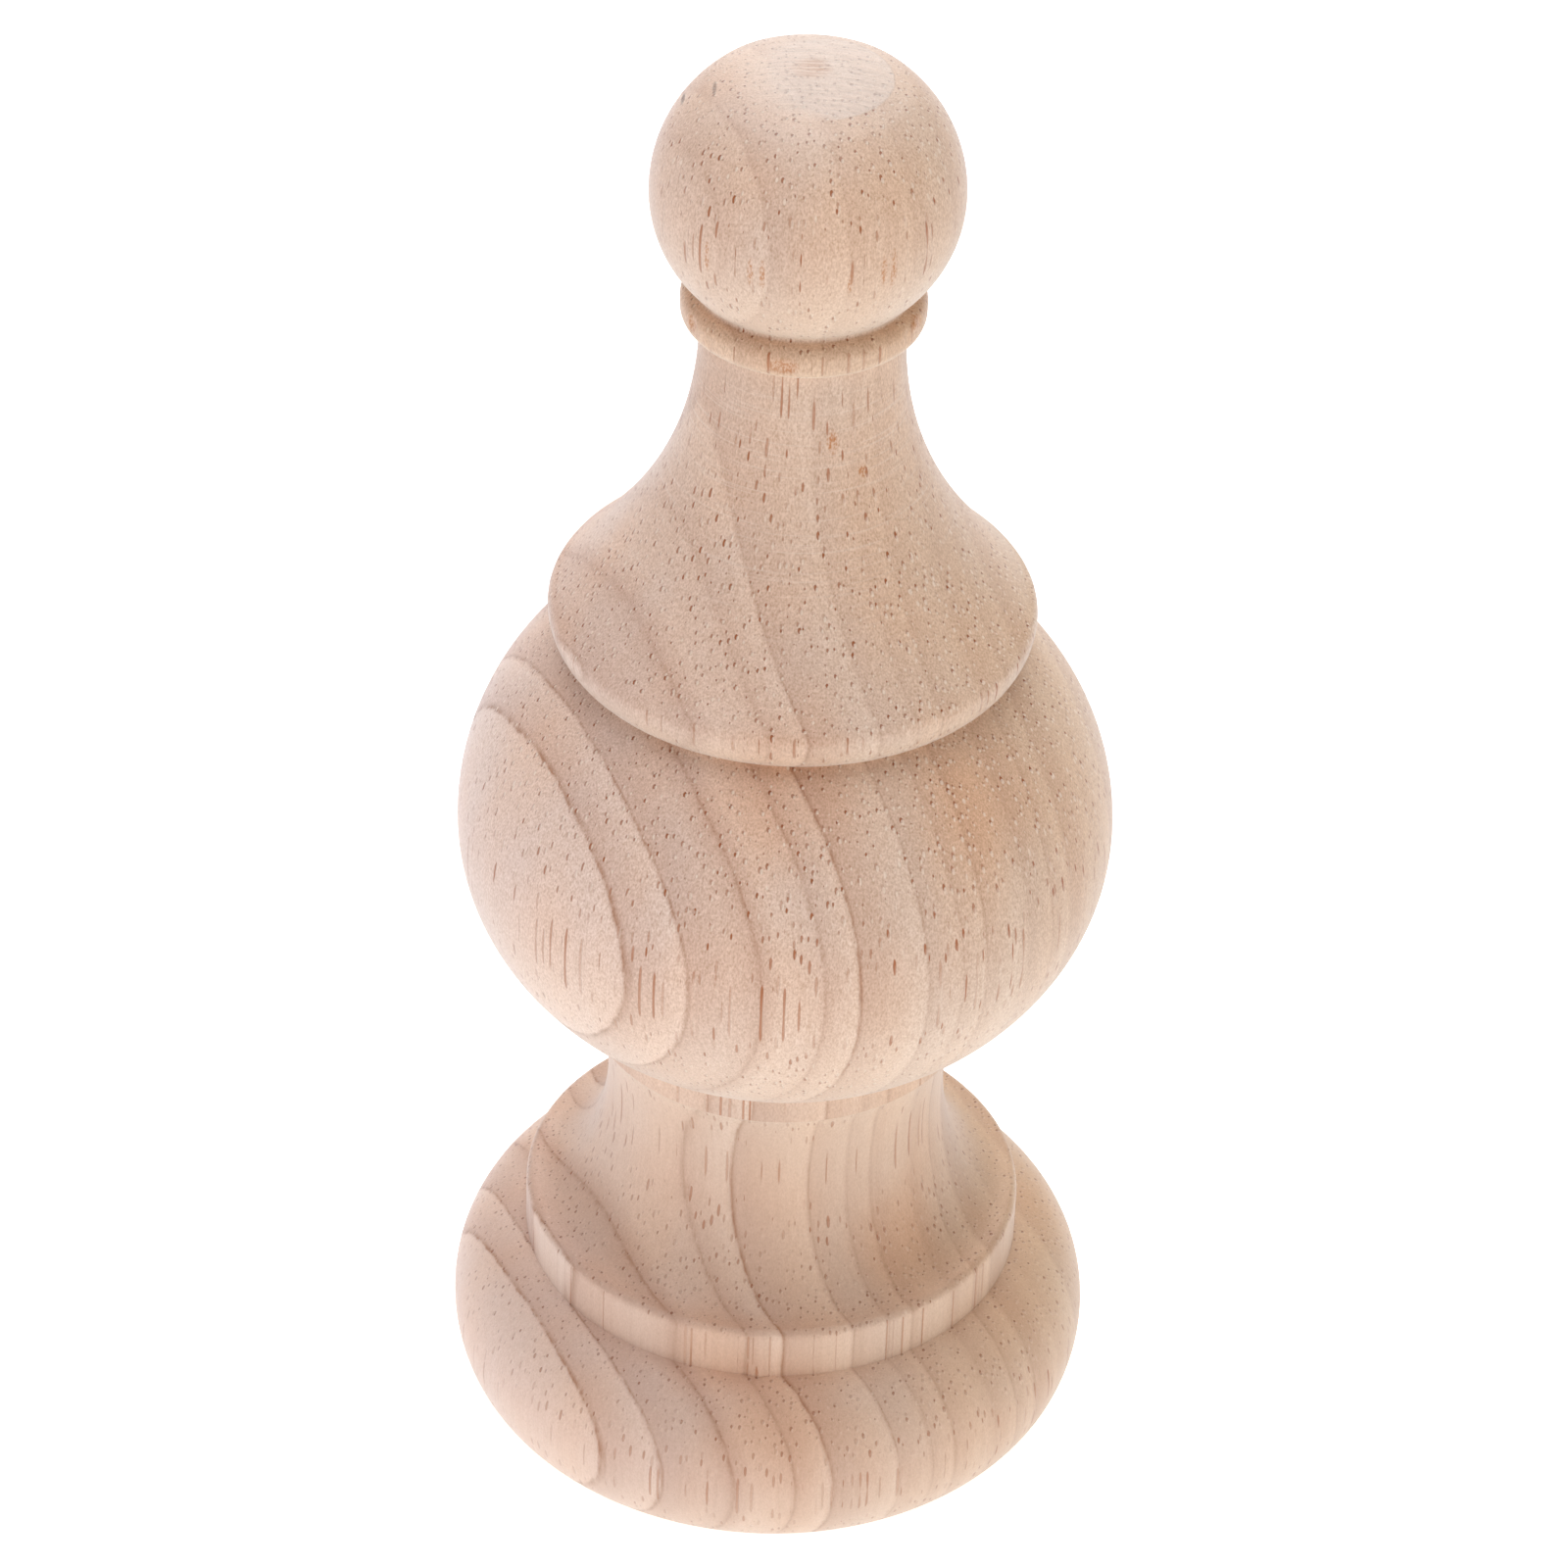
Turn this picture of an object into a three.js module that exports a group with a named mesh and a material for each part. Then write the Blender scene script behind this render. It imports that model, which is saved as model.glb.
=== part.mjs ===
// Turned wooden finial, one solid piece of pale rubberwood standing on its own flat foot.
// Millimetres, +Z up. The origin is the middle of the flat underside and Z is the turning axis.
// The outline is a stack of turned members, each starting where the one below it ends.
import * as THREE from 'three';

// Foot: a fat rolled moulding with a flat underside.
const undersideRadius = 22.2; // flat disc that the finial stands on
const footWidestHeight = 7.7; // height at which the roll is widest
const footCrestRise = 8.5; // from the widest line up to the crest of the roll
const footOverhang = 6.3; // how far the roll stands out past the lip above it
const footCrestInset = 0.9; // the roll's crest lies this far inside the lip

// Lip: a narrow upright band with a softened upper corner.
const lipRadius = 21.5;
const lipBand = 4.0; // upright part of the band
const lipCorner = 0.75; // rounding of its upper corner

// Cove: hollow waist that sweeps out to the lip below and a little to the fillet above.
const waistRadius = 14.5;
const coveBelow = 12.1; // from the lip up to the narrowest line
const coveAbove = 7.0; // from the narrowest line up to the fillet

// Fillet: short plain cylinder under the large ball.
const filletStep = 1.85; // how far it stands out past the waist
const filletHeight = 2.55;

// Large ball, squashed a little, more so below than above.
const ballRadius = 27.5;
const ballDrop = 22.0; // half height of its lower ellipse
const ballRise = 24.4; // half height of its upper ellipse

// Rim: the rolled edge of the skirt, cut in underneath down to the ball.
const rimRadius = 20.1;
const rimUndercut = 1.9; // depth of the groove between rim and ball
const rimRollBelow = 3.75; // section radius below the widest line
const rimRollAbove = 1.4; // section radius above it
const rimRollAboveTurn = 60; // degrees that the upper roll turns before the skirt starts

// Skirt: hollow sweep from the rim up to the slender neck.
const neckRadius = 8.25;
const skirtHeight = 26.6;
const skirtSweep = 2.28; // power of the sweep: 1 is a plain cone

// Collar: a bead round the top of the neck.
const collarRadius = 9.85;
const collarRoundBelow = 1.05;
const collarLand = 0.75; // upright part between the two roundings
const collarRoundAbove = 1.35;

// Knob: the small ball on top, with a crown sanded flatter where the lathe centre was.
const knobRadius = 12.5;
const knobDrop = 11.6; // half height of its lower ellipse
const knobRise = 12.2; // half height of its upper ellipse
const crownRadius = 8.1; // edge of the sanded crown
const crownRise = 1.7; // height of the crown's shallow dome

// Facets: divisions round the axis, how far a facet may cut inside a rounding, steps up the skirt.
const facetsRound = 56;
const facetDepth = 0.08;
const skirtSteps = 9;
const weldDistance = 1e-6; // outline points closer than this are one point

const rightAngle = 90;
const radians = THREE.MathUtils.degToRad;
const degrees = THREE.MathUtils.radToDeg;

// Points of an elliptical arc about (r, z) with half axes halfR and halfZ, from one angle to another.
function arc(r, z, halfR, halfZ, from, to) {
  const facetTurn = 2 * degrees(Math.acos(1 - facetDepth / Math.max(halfR, halfZ)));
  const steps = Math.max(2, Math.ceil(Math.abs(to - from) / facetTurn));
  const points = [];
  for (let step = 0; step <= steps; step += 1) {
    const angle = radians(from + ((to - from) * step) / steps);
    points.push(new THREE.Vector2(r + halfR * Math.cos(angle), z + halfZ * Math.sin(angle)));
  }
  return points;
}

// Angle from its widest line at which an ellipse of this half width has come in to a given radius.
function angleAt(radius, halfWidth) {
  return degrees(Math.acos(radius / halfWidth));
}

function foot(bottom) {
  const radius = lipRadius + footOverhang;
  const crestRadius = lipRadius - footCrestInset;
  const roll = radius - crestRadius;
  const widest = bottom + footWidestHeight;
  const lower = arc(
    undersideRadius, widest, radius - undersideRadius, footWidestHeight, -rightAngle, 0);
  const lipAngle = angleAt(footCrestInset, roll);
  const upper = arc(crestRadius, widest, roll, footCrestRise, 0, lipAngle);
  return [new THREE.Vector2(0, bottom), ...lower, ...upper];
}

function lip(bottom) {
  const cornerHeight = bottom + lipBand;
  return arc(lipRadius - lipCorner, cornerHeight, lipCorner, lipCorner, 0, rightAngle);
}

// The lower sweep turns from level at the lip to upright at the waist, the upper one out to the fillet.
function cove(bottom) {
  const waist = bottom + coveBelow;
  const reach = lipRadius - lipCorner - waistRadius;
  const below = arc(waistRadius + reach, waist, reach, coveBelow, 3 * rightAngle, 2 * rightAngle);
  const above = arc(waistRadius + filletStep, waist, filletStep, coveAbove, 2 * rightAngle, rightAngle);
  return [...below, ...above];
}

function fillet(bottom) {
  return [new THREE.Vector2(waistRadius + filletStep, bottom + filletHeight)];
}

function ball(bottom) {
  const start = angleAt(waistRadius + filletStep, ballRadius);
  const end = angleAt(rimRadius - rimUndercut, ballRadius);
  const widest = bottom + ballDrop * Math.sin(radians(start));
  const lower = arc(0, widest, ballRadius, ballDrop, -start, 0);
  const upper = arc(0, widest, ballRadius, ballRise, 0, end);
  return [...lower, ...upper];
}

function rim(bottom) {
  const turn = angleAt(rimRollBelow - rimUndercut, rimRollBelow);
  const widest = bottom + rimRollBelow * Math.sin(radians(turn));
  const below = arc(rimRadius - rimRollBelow, widest, rimRollBelow, rimRollBelow, -turn, 0);
  const above = arc(
    rimRadius - rimRollAbove, widest, rimRollAbove, rimRollAbove, 0, rimRollAboveTurn);
  return [...below, ...above];
}

function skirt(bottom, bottomRadius) {
  const points = [];
  for (let step = 1; step <= skirtSteps; step += 1) {
    const climbed = step / skirtSteps;
    const flare = (bottomRadius - neckRadius) * (1 - climbed) ** skirtSweep;
    points.push(new THREE.Vector2(neckRadius + flare, bottom + skirtHeight * climbed));
  }
  return points;
}

function collar(bottom) {
  const belowHeight = bottom + collarRoundBelow;
  const aboveHeight = belowHeight + collarLand;
  const below = arc(
    collarRadius - collarRoundBelow, belowHeight,
    collarRoundBelow, collarRoundBelow, -rightAngle, 0);
  const above = arc(
    collarRadius - collarRoundAbove, aboveHeight,
    collarRoundAbove, collarRoundAbove, 0, rightAngle);
  return [...below, ...above];
}

function knob(bottom) {
  const start = angleAt(collarRadius - collarRoundAbove, knobRadius);
  const end = angleAt(crownRadius, knobRadius);
  const widest = bottom + knobDrop * Math.sin(radians(start));
  const lower = arc(0, widest, knobRadius, knobDrop, -start, 0);
  const upper = arc(0, widest, knobRadius, knobRise, 0, end);
  return [...lower, ...upper];
}

// A shallow dome: the cap of a large sphere over the crown's edge, closed on the axis.
function crown(bottom) {
  const sphere = (crownRadius ** 2 + crownRise ** 2) / (2 * crownRise);
  const centre = bottom + crownRise - sphere;
  const edge = degrees(Math.asin((sphere - crownRise) / sphere));
  const dome = arc(0, centre, sphere, sphere, edge, rightAngle);
  dome.at(-1).x = 0;
  return dome;
}

// The whole outline from the middle of the underside to the middle of the crown.
function outline() {
  const points = foot(0);
  const top = () => points.at(-1);
  const add = (member) => {
    const repeats = member[0].distanceTo(top()) < weldDistance;
    points.push(...(repeats ? member.slice(1) : member));
  };
  for (const member of [lip, cove, fillet, ball, rim]) {
    add(member(top().y));
  }
  add(skirt(top().y, top().x));
  for (const member of [collar, knob, crown]) {
    add(member(top().y));
  }
  return points;
}

const turned = new THREE.LatheGeometry(outline(), facetsRound);
turned.rotateX(Math.PI / 2);

const rubberwood = new THREE.MeshStandardMaterial({
  name: 'rubberwood',
  color: 0xe3c6ad,
  roughness: 0.62,
  metalness: 0,
});

const finial = new THREE.Mesh(turned, rubberwood);
finial.name = 'finial';

const part = new THREE.Group();
part.name = 'wooden_finial';
part.add(finial);

export default part;
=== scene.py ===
import math
import bmesh
import bpy
from mathutils import Matrix, Vector


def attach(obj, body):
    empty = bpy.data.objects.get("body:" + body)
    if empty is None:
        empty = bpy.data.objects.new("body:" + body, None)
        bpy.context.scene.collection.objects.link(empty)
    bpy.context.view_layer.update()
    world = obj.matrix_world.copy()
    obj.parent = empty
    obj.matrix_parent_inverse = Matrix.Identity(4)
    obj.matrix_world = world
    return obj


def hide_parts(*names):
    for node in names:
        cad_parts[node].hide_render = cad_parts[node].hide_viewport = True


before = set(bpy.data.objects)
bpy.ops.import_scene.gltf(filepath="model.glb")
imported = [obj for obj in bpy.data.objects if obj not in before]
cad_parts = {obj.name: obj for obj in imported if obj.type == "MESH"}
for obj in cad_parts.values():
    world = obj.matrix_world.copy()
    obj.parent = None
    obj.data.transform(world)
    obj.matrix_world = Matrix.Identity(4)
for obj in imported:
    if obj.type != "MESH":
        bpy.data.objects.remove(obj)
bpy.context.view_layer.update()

# Foot. The finial is one piece of rubberwood turned between centres, so its members are drawn
# one above the other as a single half outline. The lowest is a fat roll on a flat underside.
MM = 0.001
SHORT_STEP = 0.52 * MM  # along the outline, short enough for a smooth edge in a close view
FEWEST_STEPS = 6
UNDERSIDE_RADIUS = 22.2 * MM
FOOT_RADIUS = 27.795 * MM  # a hair inside the solid's
FOOT_WIDEST_HEIGHT = 7.7 * MM
FOOT_CREST_RISE = 8.5 * MM
FOOT_CREST_RADIUS = 20.6 * MM
LIP_RADIUS = 21.5 * MM
outline = [(0, 0)]


def top():
    """The height that the outline has reached."""
    return outline[-1][1]


def angle_at(radius, half_width):
    """Angle from its widest line at which an oval of this half width has come in to a radius."""
    return math.degrees(math.acos(radius / half_width))


def sweep(radius, height, half_width, half_height, start, end):
    """Draws the outline on along an oval about (radius, height), between two angles in degrees."""
    length = math.radians(abs(end - start)) * max(half_width, half_height)
    steps = max(FEWEST_STEPS, round(length / SHORT_STEP))
    for step in range(steps + 1):
        angle = math.radians(start + (end - start) * step / steps)
        outline.append((radius + half_width * math.cos(angle),
                        height + half_height * math.sin(angle)))


def hollow(corner, radius, height):
    """Draws the outline on to a radius and height by a hollow curve that bends toward a corner."""
    start = Vector(outline[-1])
    for step in range(1, FEWEST_STEPS + 1):
        share = step / FEWEST_STEPS
        toward = start.lerp(Vector(corner), share)
        onward = Vector(corner).lerp(Vector((radius, height)), share)
        outline.append(tuple(toward.lerp(onward, share)))


def run(radius, height):
    """Draws the outline straight on to a radius and height, in short steps."""
    from_radius, from_height = outline[-1]
    steps = max(1, round(math.hypot(radius - from_radius, height - from_height) / SHORT_STEP))
    for step in range(1, steps + 1):
        share = step / steps
        outline.append((from_radius + (radius - from_radius) * share,
                        from_height + (height - from_height) * share))


sweep(UNDERSIDE_RADIUS, FOOT_WIDEST_HEIGHT, FOOT_RADIUS - UNDERSIDE_RADIUS, FOOT_WIDEST_HEIGHT, -90, 0)
foot_roll = FOOT_RADIUS - FOOT_CREST_RADIUS
lip_angle = angle_at(LIP_RADIUS - FOOT_CREST_RADIUS, foot_roll)
sweep(FOOT_CREST_RADIUS, FOOT_WIDEST_HEIGHT, foot_roll, FOOT_CREST_RISE, 0, lip_angle)

# Lip: a narrow upright band that a chisel left above the foot. Its upper corner is softened by
# sandpaper.
LIP_BAND = 4.0 * MM
LIP_CORNER = 0.75 * MM
run(LIP_RADIUS, top() + LIP_BAND)
sweep(LIP_RADIUS - LIP_CORNER, top(), LIP_CORNER, LIP_CORNER, 0, 90)

# Cove and fillet: the hollow waist, cut with a gouge from both sides down to its narrowest line,
# and the short plain cylinder that the big ball stands on.
WAIST_RADIUS = 14.5 * MM
COVE_BELOW = 12.1 * MM
COVE_ABOVE = 7.0 * MM
FILLET_STEP = 1.85 * MM
FILLET_HEIGHT = 2.55 * MM
waist_height = top() + COVE_BELOW
cove_reach = LIP_RADIUS - LIP_CORNER - WAIST_RADIUS
sweep(WAIST_RADIUS + cove_reach, waist_height, cove_reach, COVE_BELOW, 270, 180)
sweep(WAIST_RADIUS + FILLET_STEP, waist_height, FILLET_STEP, COVE_ABOVE, 180, 90)
fillet_radius = WAIST_RADIUS + FILLET_STEP
run(fillet_radius, top() + FILLET_HEIGHT)

# Big ball: slightly squashed, and a little more so below its widest line than above it.
BALL_RADIUS = 27.5 * MM
BALL_DROP = 22.0 * MM
BALL_RISE = 24.4 * MM
RIM_RADIUS = 20.1 * MM
RIM_UNDERCUT = 1.9 * MM
ball_start = angle_at(fillet_radius, BALL_RADIUS)
ball_height = top() + BALL_DROP * math.sin(math.radians(ball_start))
sweep(0, ball_height, BALL_RADIUS, BALL_DROP, -ball_start, 0)
sweep(0, ball_height, BALL_RADIUS, BALL_RISE, 0, angle_at(RIM_RADIUS - RIM_UNDERCUT, BALL_RADIUS))

# Skirt: a bell that sweeps up to the slender neck. Its rim is rolled and undercut down to the ball.
RIM_ROLL_BELOW = 3.75 * MM
RIM_ROLL_ABOVE = 1.4 * MM
RIM_ROLL_ABOVE_TURN = 60
NECK_RADIUS = 8.25 * MM
SKIRT_HEIGHT = 26.6 * MM
SKIRT_SWEEP = 2.28  # power of the sweep: 1 is a plain cone
SKIRT_STEPS = 58
rim_turn = angle_at(RIM_ROLL_BELOW - RIM_UNDERCUT, RIM_ROLL_BELOW)
rim_height = top() + RIM_ROLL_BELOW * math.sin(math.radians(rim_turn))
sweep(RIM_RADIUS - RIM_ROLL_BELOW, rim_height, RIM_ROLL_BELOW, RIM_ROLL_BELOW, -rim_turn, 0)
sweep(RIM_RADIUS - RIM_ROLL_ABOVE, rim_height, RIM_ROLL_ABOVE, RIM_ROLL_ABOVE, 0, RIM_ROLL_ABOVE_TURN)
skirt_radius, skirt_height = outline[-1]
for step in range(1, SKIRT_STEPS + 1):
    climbed = step / SKIRT_STEPS
    flare = (skirt_radius - NECK_RADIUS) * (1 - climbed) ** SKIRT_SWEEP
    outline.append((NECK_RADIUS + flare, skirt_height + SKIRT_HEIGHT * climbed))

# Collar: a bead round the top of the neck, cut with the point of the chisel. Its cut fibres stay
# rougher than the wood beside them.
COLLAR_RADIUS = 9.85 * MM
COLLAR_ROUND_BELOW = 1.05 * MM
COLLAR_LAND = 0.75 * MM
COLLAR_ROUND_ABOVE = 1.35 * MM
COLLAR_ROUND_ABOVE_TURN = 62  # degrees, up to the small hollow between collar and knob
collar_below = COLLAR_RADIUS - COLLAR_ROUND_BELOW
collar_above = COLLAR_RADIUS - COLLAR_ROUND_ABOVE
collar_bottom = top()
run(collar_below, collar_bottom)
sweep(collar_below, collar_bottom + COLLAR_ROUND_BELOW, COLLAR_ROUND_BELOW, COLLAR_ROUND_BELOW, -90, 0)
run(COLLAR_RADIUS, top() + COLLAR_LAND)
collar_top = top() + COLLAR_ROUND_ABOVE
sweep(collar_above, top(), COLLAR_ROUND_ABOVE, COLLAR_ROUND_ABOVE, 0, COLLAR_ROUND_ABOVE_TURN)

# Knob: the small ball on top. Its crown was sanded flatter where the lathe centre had held it.
KNOB_RADIUS = 12.5 * MM
KNOB_DROP = 11.6 * MM
KNOB_RISE = 12.2 * MM
KNOB_HOLLOW_TURN = 4  # degrees of its lower oval that the hollow takes up
CROWN_RADIUS = 8.1 * MM
CROWN_RISE = 1.7 * MM
FACET_RADIUS = 6.5 * MM  # the flattest part of the crown, with an edge that shows
FACET_RISE = 0.98 * MM
knob_start = angle_at(collar_above, KNOB_RADIUS)
knob_height = collar_top + KNOB_DROP * math.sin(math.radians(knob_start))
knob_leaves = math.radians(knob_start - KNOB_HOLLOW_TURN)
hollow((collar_above, collar_top),
       KNOB_RADIUS * math.cos(knob_leaves), knob_height - KNOB_DROP * math.sin(knob_leaves))
sweep(0, knob_height, KNOB_RADIUS, KNOB_DROP, KNOB_HOLLOW_TURN - knob_start, 0)
sweep(0, knob_height, KNOB_RADIUS, KNOB_RISE, 0, angle_at(CROWN_RADIUS, KNOB_RADIUS))
crown_top = top() + CROWN_RISE
facet_height = crown_top - FACET_RISE
run(FACET_RADIUS, facet_height)
facet_sphere = (FACET_RADIUS ** 2 + FACET_RISE ** 2) / (2 * FACET_RISE)
facet_edge = math.degrees(math.asin((facet_sphere - FACET_RISE) / facet_sphere))
sweep(0, crown_top - facet_sphere, facet_sphere, facet_sphere, facet_edge, 90)

# Turning. The half outline is extruded point by point from one vertex on the axis, then spun
# once round, as the lathe spins the blank against the chisel, and its seam and poles are closed.
DIVISIONS = 248
WELD = 0.002 * MM
SMOOTH_ANGLE = 32  # corners sharper than this, such as those of the lip and fillet, stay crisp
bpy.ops.object.select_all(action="DESELECT")
bpy.ops.mesh.primitive_plane_add(size=MM, location=(0, 0, 0))
finial = bpy.context.object
finial.name = "turned_finial"
bpy.ops.object.mode_set(mode="EDIT")
bpy.ops.mesh.select_all(action="SELECT")
bpy.ops.mesh.merge(type="CENTER")
for (radius, height), (next_radius, next_height) in zip(outline, outline[1:]):
    stroke = (next_radius - radius, 0, next_height - height)
    bpy.ops.mesh.extrude_vertices_move(TRANSFORM_OT_translate={"value": stroke})
bpy.ops.mesh.select_all(action="SELECT")
bpy.ops.mesh.remove_doubles(threshold=WELD)
bpy.ops.mesh.spin(steps=DIVISIONS, angle=math.tau, center=(0, 0, 0), axis=(0, 0, 1))
bpy.ops.mesh.select_all(action="SELECT")
bpy.ops.mesh.remove_doubles(threshold=WELD)
bpy.ops.mesh.normals_make_consistent(inside=False)

# The sanded facet's edge stays crisp on the right and is rubbed over on the left
FACET_CRISP_FROM = math.radians(-12)
FACET_CRISP_TO = math.radians(120)
bpy.ops.mesh.select_all(action="DESELECT")
bpy.ops.mesh.select_mode(type="VERT")
shape = bmesh.from_edit_mesh(finial.data)
for vertex in shape.verts:
    on_edge = abs(vertex.co.xy.length - FACET_RADIUS) < WELD and abs(vertex.co.z - facet_height) < WELD
    turn = math.atan2(vertex.co.x, -vertex.co.y)
    vertex.select_set(on_edge and FACET_CRISP_FROM < turn < FACET_CRISP_TO)
shape.select_flush(True)
bpy.ops.mesh.mark_sharp()


def press(turn, height, radius, reach, out, up):
    """Moves the surface out and up at one place, fading out over a reach along the surface."""
    outward = Vector((math.sin(math.radians(turn)), -math.cos(math.radians(turn)), 0))
    place = outward * radius + Vector((0, 0, height))
    bpy.ops.mesh.select_all(action="DESELECT")
    shape = bmesh.from_edit_mesh(finial.data)
    nearest = min(shape.verts, key=lambda vertex: (vertex.co - place).length)
    nearest.select_set(True)
    bpy.ops.transform.translate(
        value=outward * out + Vector((0, 0, up)), use_proportional_edit=True,
        use_proportional_connected=True, proportional_edit_falloff="SMOOTH", proportional_size=reach)


# Fibres that the chisel tore out of the collar, and some that it lifted. Each has its turn from
# the front in degrees, and in millimetres its height and reach, and how far it moves out and up.
TORN_PLACES = (
    (-10, 110.9, 0.9, -0.35, 0), (-5, 111.0, 0.7, -0.25, 0.1), (-16, 110.7, 0.6, 0.08, 0),
    (-63, 111.3, 0.8, -0.2, 0), (-48, 110.6, 0.6, -0.12, 0), (58, 111.6, 0.6, -0.15, 0),
    (64, 111.9, 0.6, 0.1, 0.05), (70, 111.7, 0.6, -0.15, 0), (24, 110.8, 0.7, -0.12, 0))
for turn, height, reach, out, up in TORN_PLACES:
    press(turn, height * MM, COLLAR_RADIUS, reach * MM, out * MM, up * MM)

# A curl of wood that hangs on the lip's lower edge, and nicks in the rim of the skirt
press(-1, 16.6 * MM, LIP_RADIUS, 1.1 * MM, 0.35 * MM, -0.1 * MM)
press(-4, 17.4 * MM, LIP_RADIUS, 0.8 * MM, -0.15 * MM, 0)
press(-6, rim_height, RIM_RADIUS, 0.9 * MM, -0.12 * MM, 0)
press(9, rim_height - 0.8 * MM, RIM_RADIUS, 1.0 * MM, -0.15 * MM, 0)
press(33, rim_height - 0.5 * MM, RIM_RADIUS, 1.1 * MM, -0.15 * MM, 0)
# The mark of the lathe centre in the middle of the crown
press(0, crown_top, 0, 1.4 * MM, 0, -0.12 * MM)
press(90, crown_top, 1.3 * MM, 1.0 * MM, 0, 0.03 * MM)
bpy.ops.object.mode_set(mode="OBJECT")
bpy.ops.object.shade_smooth_by_angle(angle=math.radians(SMOOTH_ANGLE))
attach(finial, "root")
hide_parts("finial")

# Rubberwood, turned and sanded but left bare. The blank was cut well away from the pith, so the
# growth rings cross it as nearly straight bands. Vessels run up through it as fine tubes, and show
# as dots where the surface cuts across them and as dashes where it lies along them.
rubberwood = bpy.data.materials.new("sanded_rubberwood")
rubberwood.use_nodes = True
tree = rubberwood.node_tree
tree.nodes.clear()
finial.data.materials.append(rubberwood)


def linear(hex_colour):
    """Scene linear colour of an sRGB hex value."""
    parts = [int(hex_colour[i:i + 2], 16) / 255 for i in (1, 3, 5)]
    return [p / 12.92 if p <= 0.04045 else ((p + 0.055) / 1.055) ** 2.4 for p in parts] + [1]


def node(kind, links=None, **settings):
    """Adds a node with its settings, and sets or links its inputs by their name or number."""
    new = tree.nodes.new(kind)
    for name, value in settings.items():
        setattr(new, name, value)
    for key, source in (links or {}).items():
        named = [s for s in new.inputs if s.name == key and not s.is_unavailable]
        socket = new.inputs[key] if isinstance(key, int) else named[0]
        if isinstance(source, bpy.types.NodeSocket):
            tree.links.new(source, socket)
        elif isinstance(source, bpy.types.Node):
            tree.links.new(next(s for s in source.outputs if not s.is_unavailable), socket)
        else:
            socket.default_value = source
    return new


def spread(value, start, end, low=0.0, high=1.0, **settings):
    """Turns a value that runs from start to end into one that runs from low to high."""
    return node("ShaderNodeMapRange", {
        "Value": value, "From Min": start, "From Max": end, "To Min": low, "To Max": high}, **settings)


def times(value, other):
    """Multiplies two values."""
    return node("ShaderNodeMath", {0: value, 1: other}, operation="MULTIPLY")


def layer(share, under, over, **settings):
    """Lays a colour over another by a share."""
    return node("ShaderNodeMix", {"Factor": share, "A": under, "B": over}, data_type="RGBA", **settings)


def length(vector):
    """Measures a vector."""
    return node("ShaderNodeVectorMath", {0: vector}, operation="LENGTH").outputs["Value"]


place = node("ShaderNodeTexCoord")
from_axis = node("ShaderNodeMapping", {"Vector": place.outputs["Object"], "Scale": [1 / MM] * 3})
apart = node("ShaderNodeSeparateXYZ", {"Vector": from_axis})
side = apart.outputs["X"]
height = apart.outputs["Z"]


def grain(across, along, detail, roughness=0.5):
    """A noise in patches of some millimetres across the fibres and along them."""
    patches = node("ShaderNodeMapping", {
        "Vector": from_axis, "Scale": (1 / across, 1 / across, 1 / along)})
    return node("ShaderNodeTexNoise", {
        "Vector": patches, "Scale": 1.0, "Detail": detail, "Roughness": roughness})


def swing(noise, reach):
    """Turns a noise into a swing that reaches as far below nought as above it."""
    return spread(noise, 0.3, 0.7, -reach, reach)


def tint(colour, shift, strengths):
    """Shifts a colour's red, green and blue, each as strongly as given."""
    factors = node("ShaderNodeVectorMath", {
        0: shift, 1: strengths, 2: (1, 1, 1)}, operation="MULTIPLY_ADD")
    return node("ShaderNodeVectorMath", {0: colour, 1: factors}, operation="MULTIPLY")


def away_from(middle, reaches):
    """The distance from a place, counted in its reach along each axis."""
    spot = node("ShaderNodeMapping", {
        "Vector": from_axis, "Location": middle, "Scale": reaches}, vector_type="TEXTURE")
    return length(spot)


# Growth rings: their distance from the pith, in millimetres. They wander slowly over the board,
# and tremble a little on the scale of the fibres.
PITH = (-83.4, -43.9, 0)  # from the turning axis, turned to sit on the origin
PITH_LEAN = (math.radians(-0.73), math.radians(-1.70), 0)
WANDER = 0.4
TREMOR = 0.2
wander = grain(15, 100, 2.0)
tremor = grain(1.2, 12, 4.0, 0.7)
grown = node("ShaderNodeMapping", {"Vector": from_axis, "Location": PITH, "Rotation": PITH_LEAN})
for noise, reach in ((wander, WANDER), (tremor, TREMOR)):
    moved = node("ShaderNodeVectorMath", {
        0: noise.outputs["Color"], 1: (2 * reach, 2 * reach, 0), 2: (-reach, -reach, 0)},
        operation="MULTIPLY_ADD")
    grown = node("ShaderNodeVectorMath", {0: grown, 1: moved}, operation="ADD")
LEVEL = (1, 1, 0)  # leaves the height out of a vector
pith_distance = length(node("ShaderNodeVectorMath", {0: grown, 1: LEVEL}, operation="MULTIPLY"))


def bands(span, stops):
    """Greys at distances from the pith, in a colour ramp that reaches over a span of them."""
    ramp = node("ShaderNodeValToRGB", {"Fac": spread(pith_distance, *span)})
    elements = ramp.color_ramp.elements
    while len(elements) < len(stops):
        elements.new(1)
    for element, (distance, shade) in zip(elements, stops):
        element.position = (distance - span[0]) / (span[1] - span[0])
        element.color = (shade, shade, shade, 1)
    return ramp


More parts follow.
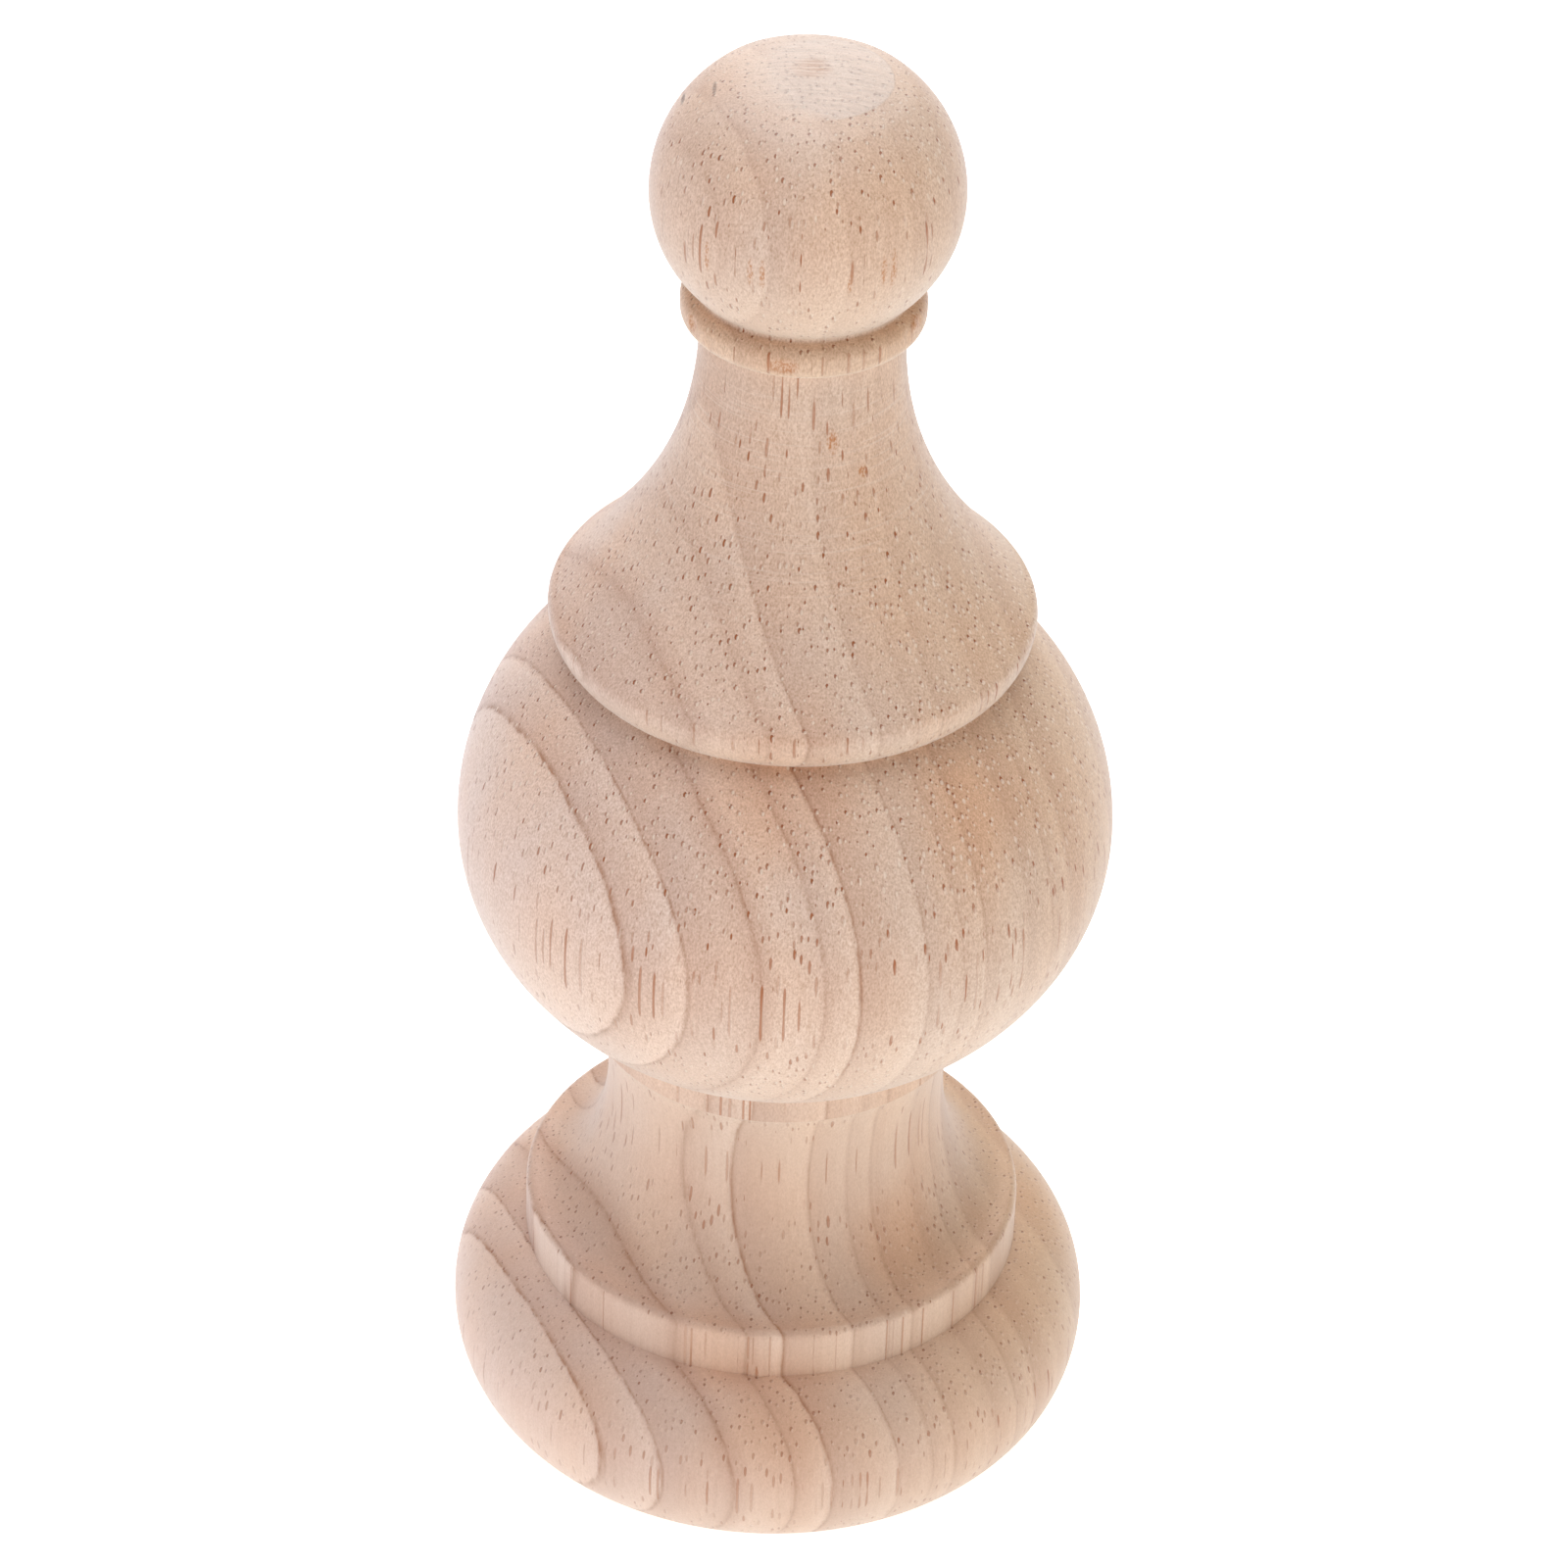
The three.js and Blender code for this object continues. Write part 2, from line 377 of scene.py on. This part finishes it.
# Paleness of the wood at distances from the pith. It darkens through each year and jumps back
# where the next year starts.
RING_SPAN = (66, 124)
RINGS = ((67.0, 0.55), (74.8, 0.20), (75.3, 0.64), (79.4, 0.35), (79.9, 0.55), (82.0, 0.15),
         (83.6, 0.10), (84.2, 0.58), (86.3, 0.22), (86.7, 0.52), (89.3, 0.20), (89.8, 0.50),
         (91.5, 0.62), (94.0, 0.25), (94.4, 0.68), (96.4, 0.30), (96.8, 0.62), (99.5, 0.30),
         (99.9, 0.85), (105.0, 0.05), (105.3, 0.88), (107.6, 0.25), (108.0, 0.62), (110.4, 0.80),
         (111.8, 0.02), (112.2, 0.30), (113.4, 0.55), (115.8, 0.16), (116.1, 0.98), (118.6, 0.22),
         (118.9, 0.96), (121.5, 0.90))
rings = bands(RING_SPAN, RINGS)
# The coarser sanding above the ball hides the rings a little
MEAN_PALENESS = 0.55
RINGS_CLEAR_BELOW = 75
RINGS_HIDDEN_ABOVE = 95
ring_strength = spread(height, RINGS_CLEAR_BELOW, RINGS_HIDDEN_ABOVE, 1.0, 0.6)
ring_tone = node("ShaderNodeMix", {"Factor": ring_strength, "A": MEAN_PALENESS, "B": rings})
PALE = "#EDD1BB"
LATE = "#D3B099"
ringed = layer(ring_tone, linear(LATE), linear(PALE))
# The wood is yellower toward the heart
TOWARD_HEART = "#FFF8E2"
TOWARD_BARK = "#FFF9FD"
hue = layer(spread(pith_distance, *RING_SPAN), linear(TOWARD_HEART), linear(TOWARD_BARK))
wood = layer(1.0, ringed, hue, blend_type="MULTIPLY")

# Dark lines that end a year's growth, each at a distance from the pith and with a strength. They
# break up where the rings tremble, and are fainter still where the rings are faint.
YEAR_END = "#A0602F"
YEAR_END_SPAN = (82, 121)
YEAR_ENDS = ((83.6, 0.2), (86.4, 0.3), (94.0, 0.4), (96.4, 0.3), (99.6, 0.6), (105.0, 0.8),
             (107.6, 0.4), (111.8, 0.8), (115.9, 1.0), (118.7, 1.0))
YEAR_END_BEFORE = 0.22
YEAR_END_AFTER = 0.08
LINE_WEAR = 3.0  # power of the rings' own strength
line_stops = []
for distance, strength in YEAR_ENDS:
    for line_edge, shade in ((-YEAR_END_BEFORE, 0), (0, strength), (YEAR_END_AFTER, 0)):
        line_stops.append((distance + line_edge, shade))
line_fade = spread(tremor, 0.4, 0.6, 0.3, 1.0)
line_worn = node("ShaderNodeMath", {0: ring_strength, 1: LINE_WEAR}, operation="POWER")
line_share = times(bands(YEAR_END_SPAN, line_stops), times(line_fade, line_worn))
coloured = layer(line_share, wood, linear(YEAR_END))

# Painted shade: browner, darker patches under the rim of the skirt, on the flare of the cove, and
# round the front of the lip and foot, where the members above shade them. Each has its middle and its
# reach.
PAINTED_SHADE_BROWN = "#FAEFE6"
PAINTED_SHADE_PATCHES = (((0, -19.9, 77.1), 9), ((15.7, -16.2, 74.2), 9), ((11.0, -12.8, 24.5), 7),
           ((0.5, -25.0, 14.0), 8), ((-4.0, -21.1, 18.4), 6))
for middle, reach in PAINTED_SHADE_PATCHES:
    shade_patch = spread(away_from(middle, [reach] * 3), 1.0, 0.2, interpolation_type="SMOOTHSTEP")
    coloured = layer(shade_patch, coloured, linear(PAINTED_SHADE_BROWN), blend_type="MULTIPLY")

# Blotches a few millimetres across, redder and yellower than the wood
BLOTCH_STRENGTHS = (0.02, -0.01, -0.045)
coloured = tint(coloured, swing(grain(7, 18, 1.0), 1.0), BLOTCH_STRENGTHS)

# Fibres: specks some 0.2 mm across where they are cut off short, and streaks where they lie. The
# coarser sanding above the waist leaves the specks stronger there.
FIBRE_STRENGTHS = (0.7, 1.0, 1.3)
FINE_BELOW = 36
COARSE_ABOVE = 48
coarseness = spread(height, FINE_BELOW, COARSE_ABOVE, 0.35, 1.0)
fibres = grain(0.15, 0.3, 2.0, 0.6)
streaks = grain(0.35, 12, 1.0)
fibre_tone = node("ShaderNodeMath", {
    0: swing(fibres, 0.25), 1: coarseness, 2: swing(streaks, 0.035)}, operation="MULTIPLY_ADD")
coloured = tint(coloured, fibre_tone, FIBRE_STRENGTHS)

# Scratches that the sandpaper left round the neck as it turned, up to 10 mm long
SCRATCH = "#F6E4D6"
scratches = spread(grain(9, 0.16, 1.0), 0.57, 0.7, 0.0, 0.27)
on_neck = times(spread(height, 84, 96), spread(height, 107, 109, 1.0, 0.0))
coloured = layer(times(scratches, on_neck), coloured, linear(SCRATCH))

# Vessels: tubes up to 0.33 mm wide and some 0.6 mm apart, blocked in places
VESSEL_CELL = 0.62
EDGE = 0.05  # softness of their edges, in cells
BLOCK_LENGTH = 7
COURSE_SCATTER = (37, 41, 0)  # sets each vessel's blocks apart from its neighbours'


def tubes(shift, widest):
    """Upright tubes with their random values, and how far inside its own radius a place lies."""
    cells = node("ShaderNodeMapping", {
        "Vector": from_axis, "Location": shift, "Scale": (1 / VESSEL_CELL, 1 / VESSEL_CELL, 1)})
    pattern = node("ShaderNodeTexVoronoi", {"Vector": cells, "Scale": 1.0}, voronoi_dimensions="2D")
    own = node("ShaderNodeSeparateColor", {0: pattern.outputs["Color"]})
    inside = node("ShaderNodeMath", {
        0: spread(own.outputs["Red"], 0.0, 1.0, 0.0, widest), 1: pattern.outputs["Distance"]},
        operation="SUBTRACT")
    return pattern, own, inside


vessels, vessel_kind, vessel_inside = tubes((0, 0, 0), 0.27)
along = node("ShaderNodeMapping", {"Vector": from_axis, "Scale": (0, 0, 1 / BLOCK_LENGTH)})
vessel_course = node("ShaderNodeVectorMath", {
    0: vessels.outputs["Color"], 1: COURSE_SCATTER, 2: along}, operation="MULTIPLY_ADD")
blocking = node("ShaderNodeTexNoise", {"Vector": vessel_course, "Scale": 1.0, "Detail": 1.0})
vessel_seen = times(spread(vessel_inside, 0.0, EDGE), spread(blocking, 0.37, 0.43))
# Some are darker than others, those of late wood most. The finer sanding below filled them more.
vessel_depth = spread(vessel_kind.outputs["Green"], 0.0, 1.0, 0.2, 1.0)
vessel_worn = spread(height, FINE_BELOW, COARSE_ABOVE, 0.7, 1.0)
vessel_late = spread(ring_tone, 0.1, 0.9, 1.2, 0.9)
vessel_share = times(vessel_seen, times(vessel_depth, times(vessel_worn, vessel_late)))
# They look darker where they are cut across. The steepness is how squarely the surface cuts them.
VESSEL_ALONG = "#B4652A"
VESSEL_ACROSS = "#90481C"
facing = node("ShaderNodeSeparateXYZ", {"Vector": place.outputs["Normal"]}).outputs["Z"]
steepness = node("ShaderNodeMath", {0: facing}, operation="ABSOLUTE")
vessel_colour = layer(steepness, linear(VESSEL_ALONG), linear(VESSEL_ACROSS))
coloured = layer(vessel_share, coloured, vessel_colour)

# Torn fibres: pale flecks beside the vessels, larger on the right, where the chisel ran against
# the grain and the light rakes across them. Their paleness is partly painted highlight, the light that
# the raised fibres catch.
TORN_FIBRE_HIGHLIGHT = "#FFE9D4"
TORN_SHIFT = (-0.2, 0.12, 0)  # in cells
torn_inside = node("ShaderNodeMath", {
    0: tubes(TORN_SHIFT, 0.22)[2], 1: spread(side, 2, 9, 0.0, 0.04)}, operation="ADD")
torn_seen = spread(torn_inside, 0.0, EDGE, 0.0, 0.6)
torn_across = spread(steepness, 0.2, 0.5, 0.25, 1.0)
torn_share = times(torn_seen, times(torn_across, coarseness))
coloured = layer(torn_share, coloured, linear(TORN_FIBRE_HIGHLIGHT))

# Flecks of gum in the knob and the skirt, and some that the torn fibres of the collar laid bare.
# Each has its middle, and half its width and height.
GUM = "#C57A3A"
GUM_FLECKS = (((2.7, -8.3, 103.1), 0.6, 1.3), ((5.15, -7.75, 100.2), 0.5, 0.7),
              ((-1.7, -9.7, 110.9), 1.4, 0.9), ((-0.9, -9.8, 111.0), 0.9, 0.8),
              ((-8.8, -4.5, 111.3), 0.9, 0.8), ((9.0, -4.0, 111.8), 1.0, 0.9),
              ((6.1, -10.9, 120.8), 0.3, 1.8), ((6.8, -10.4, 120.5), 0.35, 2.3),
              ((-3.3, -12.1, 120.4), 0.3, 2.1), ((-4.2, -11.7, 120.8), 0.3, 1.5),
              ((3.5, -12.0, 119.9), 0.25, 1.6), ((-7.6, -9.9, 120.9), 0.25, 1.8))
gum_broken = spread(fibres, 0.4, 0.55, 0.9, 0.2)
for middle, half_width, half_height in GUM_FLECKS:
    gum = spread(away_from(middle, (half_width, half_width, half_height)), 1.0, 0.5)
    coloured = layer(times(gum, gum_broken), coloured, linear(GUM))

# Two small splits high on the knob, 0.4 mm wide and dark inside
SPLIT_DARK = "#6E4424"
SPLITS = ((-7.5, -1.1, 130.7), (-9.96, 0.9, 128.6))
SPLIT_REACHES = (0.2, 1.1, 1.1)
for split in SPLITS:
    split_share = spread(away_from(split, SPLIT_REACHES), 0.5, 1.0, 0.75, 0.0)
    coloured = layer(split_share, coloured, linear(SPLIT_DARK))

# The collar is tinted a little browner all round
COLLAR_BROWN = "#FFF8EC"
collar_middle = (collar_bottom + collar_top) / 2 / MM
from_collar = node("ShaderNodeMath", {0: height, 1: collar_middle}, operation="SUBTRACT")
off_collar = node("ShaderNodeMath", {0: from_collar}, operation="ABSOLUTE")
on_collar = spread(off_collar, 1.4, 1.7, 1.0, 0.0)
coloured = layer(on_collar, coloured, linear(COLLAR_BROWN), blend_type="MULTIPLY")

# Painted light: surfaces that look down are painted paler and whiter, for the light that the glowing
# floor throws up on them
UNDERSIDE_PAINTED_LIGHT = "#E9E0CC"
coloured = layer(spread(facing, -0.8, 0.15, 0.4, 0.0), coloured, linear(UNDERSIDE_PAINTED_LIGHT))

# Sanding dust in the cut ends of the fibres on the knob, and painted sheen: the knob is painted paler
# where it faces up, most where it is level, for the sheen of the soft boxes above
SANDING_DUST_AND_SHEEN = "#DCCCC1"
dust_and_sheen = spread(facing, 0.5, 0.95, 0.0, 0.25, interpolation_type="SMOOTHSTEP")
dust_and_sheen_share = times(dust_and_sheen, spread(height, 121, 128))
coloured = layer(dust_and_sheen_share, coloured, linear(SANDING_DUST_AND_SHEEN))

# The crown's facet: paler still, partly from sanding and partly painted sheen of the soft box behind,
# with straight scratches. Its edge is sharp on the right and soft on the left.
FACET_EDGE = FACET_RADIUS / MM
FACET_DUST_AND_SHEEN = 0.45
STROKE_TURN = math.radians(25)
STROKE_SIZES = (1 / 4, 1 / 0.3, 1 / 2)
off_axis = length(node("ShaderNodeVectorMath", {0: from_axis, 1: LEVEL}, operation="MULTIPLY"))
facet_inner = spread(side, -4, 2, 2.5, FACET_EDGE - 0.15)
facet = times(spread(off_axis, facet_inner, FACET_EDGE, 1.0, 0.0), spread(height, 129, 130))
coloured = layer(times(facet, FACET_DUST_AND_SHEEN), coloured, linear(SANDING_DUST_AND_SHEEN))
stroke_place = node("ShaderNodeMapping", {
    "Vector": from_axis, "Rotation": (0, 0, STROKE_TURN), "Scale": STROKE_SIZES})
strokes = node("ShaderNodeTexNoise", {"Vector": stroke_place, "Scale": 1.0, "Detail": 2.0})
stroke_tone = node("ShaderNodeMath", {
    0: swing(strokes, 0.09), 1: facet, 2: 1.0}, operation="MULTIPLY_ADD")
coloured = node("ShaderNodeVectorMath", {0: coloured, "Scale": stroke_tone}, operation="SCALE")

# The brown mark that the lathe centre left in the middle of the crown
CENTRE_MARK = "#BC8D6E"
centre = times(spread(off_axis, 0.5, 1.8, 0.9, 0.0), spread(strokes, 0.4, 0.55, 1.0, 0.2))
coloured = layer(times(centre, facet), coloured, linear(CENTRE_MARK))

# Fine relief: vessels sink into the fibres, torn ones stand up, and the facet is grooved. The bare
# wood has a soft gloss, and its cut fibres a pale fuzz.
VESSEL_SINK = -0.6
TORN_RISE = 1.0
FACET_GROOVES = 1.4
RELIEF_DEPTH = 0.05 * MM
FUZZ = "#DCE0EA"
lift = fibres
for form, share in ((vessel_seen, VESSEL_SINK), (torn_share, TORN_RISE),
                    (times(strokes, facet), FACET_GROOVES)):
    lift = node("ShaderNodeMath", {0: form, 1: share, 2: lift}, operation="MULTIPLY_ADD")
relief = node("ShaderNodeBump", {"Height": lift, "Distance": RELIEF_DEPTH, "Strength": 1.0})
surface = node("ShaderNodeBsdfPrincipled", {
    "Base Color": coloured, "Roughness": 0.5, "IOR": 1.6, "Normal": relief,
    "Sheen Weight": 0.35, "Sheen Roughness": 0.35, "Sheen Tint": linear(FUZZ)})
node("ShaderNodeOutputMaterial", {"Surface": surface})

# Floor: a sheet of white opal acrylic, lit through from below so that it throws no dark shadow.
FLOOR_SIZE = 3.0
FLOOR_WHITE = "#F4F4F4"
FLOOR_GLOW = 0.65
bpy.ops.object.select_all(action="DESELECT")
bpy.ops.mesh.primitive_plane_add(size=FLOOR_SIZE, location=(0, 0, 0))
floor = bpy.context.object
floor.name = "studio_floor"
opal = bpy.data.materials.new("white_opal_acrylic")
opal.use_nodes = True
tree = opal.node_tree
tree.nodes.clear()
sheet = node("ShaderNodeBsdfPrincipled", {
    "Base Color": linear(FLOOR_WHITE), "Roughness": 0.7, "IOR": 1.49,
    "Emission Color": (1, 1, 1, 1), "Emission Strength": FLOOR_GLOW})
node("ShaderNodeOutputMaterial", {"Surface": sheet})
floor.data.materials.append(opal)

# Light: a white tent all round, with soft boxes above and behind that put a sheen on level
# surfaces, a cool one on the left like a window, and a weak one in front.
TENT_BRIGHTNESS = 0.31
LAMP_WHITE = "#FFFFFF"
LAMP_COOL = "#C0D6FF"
LAMP_HEIGHT = 65 * MM  # the place on the axis that the soft boxes look at
world = bpy.data.worlds.new("white_tent")
world.use_nodes = True
bpy.context.scene.world = world
tree = world.node_tree
tree.nodes.clear()
tent = node("ShaderNodeBackground", {"Color": (1, 1, 1, 1), "Strength": TENT_BRIGHTNESS})
node("ShaderNodeOutputWorld", {"Surface": tent})
aim = Vector((0, 0, LAMP_HEIGHT))


def soft_box(name, turn, rise, distance, size, watts, colour):
    """A square soft box aimed at the finial. Its turn and rise are in degrees, the rest in metres."""
    light = bpy.data.lights.new(name, "AREA")
    light.color = linear(colour)[:3]
    light.size = size
    light.energy = watts
    lamp = bpy.data.objects.new(name, light)
    bpy.context.scene.collection.objects.link(lamp)
    turn, rise = math.radians(turn), math.radians(rise)
    level = math.cos(rise)
    toward = Vector((math.sin(turn) * level, -math.cos(turn) * level, math.sin(rise)))
    lamp.location = aim + toward * distance
    lamp.rotation_euler = toward.to_track_quat("Z", "Y").to_euler()


soft_box("top_soft_box", 0, 88, 0.6, 0.5, 1.8, LAMP_WHITE)
soft_box("back_soft_box", 180, 42, 1.2, 0.9, 4.4, LAMP_WHITE)
soft_box("low_back_soft_box", 180, 12, 1.2, 0.9, 3.4, LAMP_WHITE)
soft_box("left_soft_box", -75, 67, 1.2, 0.9, 1.6, LAMP_COOL)
soft_box("front_soft_box", 5, 15, 1.2, 0.9, 1.5, LAMP_WHITE)

# Camera: half a metre away, looking 37 degrees down on the finial, and held a little askew.
CAMERA_DISTANCE = 0.53198
CAMERA_PITCH = math.radians(36.68)
CAMERA_ROLL = math.radians(2.09)
CAMERA_SIDESTEP = -0.18 * MM
LOOK_HEIGHT = 63.19 * MM
FOCAL_LENGTH = 145.86  # millimetres
SENSOR_WIDTH = 36
camera = bpy.data.objects.new("camera", bpy.data.cameras.new("camera"))
bpy.context.scene.collection.objects.link(camera)
camera.data.sensor_width = SENSOR_WIDTH
camera.data.lens = FOCAL_LENGTH
stand = Vector((CAMERA_SIDESTEP, -CAMERA_DISTANCE * math.cos(CAMERA_PITCH),
                LOOK_HEIGHT + CAMERA_DISTANCE * math.sin(CAMERA_PITCH)))
tilt = Matrix.Rotation(math.pi / 2 - CAMERA_PITCH, 4, "X") @ Matrix.Rotation(CAMERA_ROLL, 4, "Z")
camera.matrix_world = Matrix.Translation(stand) @ tilt
bpy.context.scene.camera = camera
bpy.context.scene.view_settings.view_transform = "Standard"
